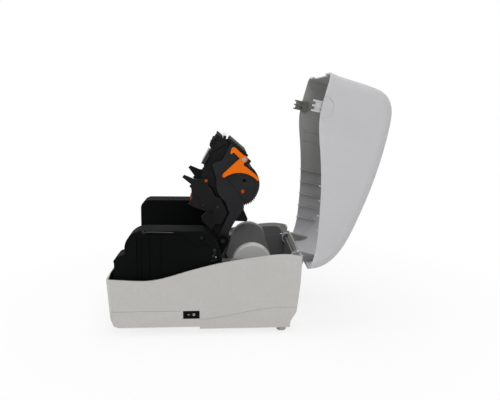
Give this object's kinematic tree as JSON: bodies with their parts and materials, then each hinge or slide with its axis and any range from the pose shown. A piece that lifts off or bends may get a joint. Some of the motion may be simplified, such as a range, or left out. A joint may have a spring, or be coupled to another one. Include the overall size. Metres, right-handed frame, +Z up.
{
  "type": "label printer",
  "caption": "Desktop thermal-transfer label printer standing open, with its cover and print module hinged up over the label roll bay.",
  "frame": {"origin": "centre of the footprint of the open printer, on the table under the rubber feet", "axes": "+Z up, +Y from the label exit towards the cover hinge, +X towards the side with the power switch"},
  "size_m": [0.218, 0.4122, 0.3798],
  "materials": {
    "base_plastic": "fine moulded texture, satin",
    "cover_plastic": "fine moulded texture, satin",
    "hinge_plastic": "moulded, satin",
    "bay_plastic": "moulded, matte",
    "guide_plastic": "moulded, matte",
    "black_plastic": "moulded, slightly glossy",
    "plate_plastic": "moulded, satin",
    "switch_plastic": "glossy",
    "button_plastic": "glossy",
    "lamp": "clear light guide",
    "orange_plastic": "bright moulded",
    "hub_plastic": "moulded",
    "gear_plastic": "acetal, satin",
    "roller_rubber": "ground rubber",
    "foot_rubber": "matte rubber",
    "white_plastic": "smooth",
    "steel": "turned or drawn",
    "zinc_sheet": "zinc plated",
    "board": "lacquered board",
    "chip_plastic": "moulded",
    "head_ceramic": "glazed ceramic",
    "aluminium": "plain"
  },
  "bodies": {
    "base": {"base_case": "base_plastic", "bottom_tray": "base_plastic", "rubber_feet": "foot_rubber", "case_screws": "steel", "switch_frame": "switch_plastic", "status_lamp": "lamp", "button_board": "board", "media_tub": "bay_plastic", "main_board": "board", "board_parts": "chip_plastic", "port_panel": "base_plastic", "power_inlet": "chip_plastic", "usb_socket": "zinc_sheet", "network_socket": "chip_plastic", "print_frame": "black_plastic", "near_gear_housing": "black_plastic", "far_housing": "black_plastic", "front_apron": "black_plastic", "tear_bar": "steel", "platen_bushes": "gear_plastic", "motor_plate": "zinc_sheet", "stepper_motor": "zinc_sheet", "label_sensor": "black_plastic", "module_pins": "steel", "cover_pins": "steel", "cover_springs": "steel"},
    "cover": {"cover_shell": "cover_plastic", "cover_arms": "hinge_plastic", "cover_catches": "hinge_plastic"},
    "print_module": {"module_frame": "black_plastic", "near_side_plate": "plate_plastic", "far_side_plate": "plate_plastic", "near_spool_bracket": "black_plastic", "far_spool_bracket": "black_plastic", "print_head": "head_ceramic", "head_heat_sink": "aluminium", "head_bracket": "black_plastic", "head_springs": "steel", "top_cover": "black_plastic", "lever_screw": "steel", "module_screws": "steel"},
    "platen": {"platen_roller": "roller_rubber", "platen_shaft": "steel", "platen_gear": "gear_plastic"},
    "idler": {"idler_gear": "gear_plastic"},
    "motor_rotor": {"motor_pinion": "steel"},
    "supply": {"supply_spindle": "black_plastic", "supply_hubs": "hub_plastic"},
    "rewind": {"rewind_spindle": "black_plastic", "rewind_gear": "gear_plastic", "rewind_cap": "hub_plastic"},
    "ribbon_roller": {"guide_roller": "white_plastic"},
    "near_guide": {"near_media_guide": "guide_plastic"},
    "far_guide": {"far_media_guide": "bay_plastic"},
    "guide_gear": {"guide_pinion": "bay_plastic"},
    "lever": {"release_lever": "orange_plastic"},
    "rocker": {"power_rocker": "switch_plastic"},
    "button": {"feed_button": "button_plastic"}
  },
  "joints": [
    {"name": "cover_hinge", "type": "hinge", "parent": "base", "child": "cover", "pos_m": [0, 0.0734, 0.1011], "axis": [1, 0, 0], "range_deg": [0, 102]},
    {"name": "module_hinge", "type": "hinge", "parent": "base", "child": "print_module", "pos_m": [0, -0.0381, 0.127], "axis": [1, 0, 0], "range_deg": [0, 93]},
    {"name": "platen_spin", "type": "hinge", "parent": "base", "child": "platen", "pos_m": [0, -0.1694, 0.0867], "axis": [1, 0, 0], "continuous": true},
    {"name": "idler_spin", "type": "hinge", "parent": "base", "child": "idler", "pos_m": [0, -0.13986, 0.09191], "axis": [1, 0, 0], "continuous": true},
    {"name": "motor_spin", "type": "hinge", "parent": "base", "child": "motor_rotor", "pos_m": [0, -0.11378, 0.0989], "axis": [1, 0, 0], "continuous": true},
    {"name": "supply_spin", "type": "hinge", "parent": "print_module", "child": "supply", "pos_m": [0, -0.0751, 0.192], "axis": [1, 0, 0], "continuous": true},
    {"name": "rewind_spin", "type": "hinge", "parent": "print_module", "child": "rewind", "pos_m": [0, -0.0074, 0.2017], "axis": [1, 0, 0], "continuous": true},
    {"name": "ribbon_roller_spin", "type": "hinge", "parent": "print_module", "child": "ribbon_roller", "pos_m": [0, -0.0346, 0.284], "axis": [1, 0, 0], "continuous": true},
    {"name": "near_guide_slide", "type": "slide", "parent": "base", "child": "near_guide", "axis": [-1, 0, 0], "range_m": [0, 0.047]},
    {"name": "far_guide_slide", "type": "slide", "parent": "base", "child": "far_guide", "axis": [1, 0, 0], "range_m": [0, 0.047]},
    {"name": "guide_gear_turn", "type": "hinge", "parent": "base", "child": "guide_gear", "pos_m": [0, 0.0099, 0.019], "axis": [0, 0, 1], "range_deg": [0, 299.3]},
    {"name": "lever_turn", "type": "hinge", "parent": "print_module", "child": "lever", "pos_m": [0.0542, -0.0052, 0.2515], "axis": [1, 0, 0], "range_deg": [-6, 6]},
    {"name": "rocker_tip", "type": "hinge", "parent": "base", "child": "rocker", "pos_m": [0.104, -0.0841, 0.03], "axis": [0, 0, 1], "range_deg": [-7, 7]},
    {"name": "button_press", "type": "slide", "parent": "base", "child": "button", "axis": [0, 1, 0], "range_m": [0, 0.0012], "stiffness_N_per_m": 500}
  ],
  "couplings": [
    {"joint": "module_hinge", "follows": "cover_hinge", "ratio": 0.91176},
    {"joint": "platen_spin", "follows": "idler_spin", "ratio": -2},
    {"joint": "motor_spin", "follows": "idler_spin", "ratio": -2.8571},
    {"joint": "far_guide_slide", "follows": "near_guide_slide", "ratio": 1},
    {"joint": "guide_gear_turn", "follows": "near_guide_slide", "rad_per_m": 111.11}
  ]
}
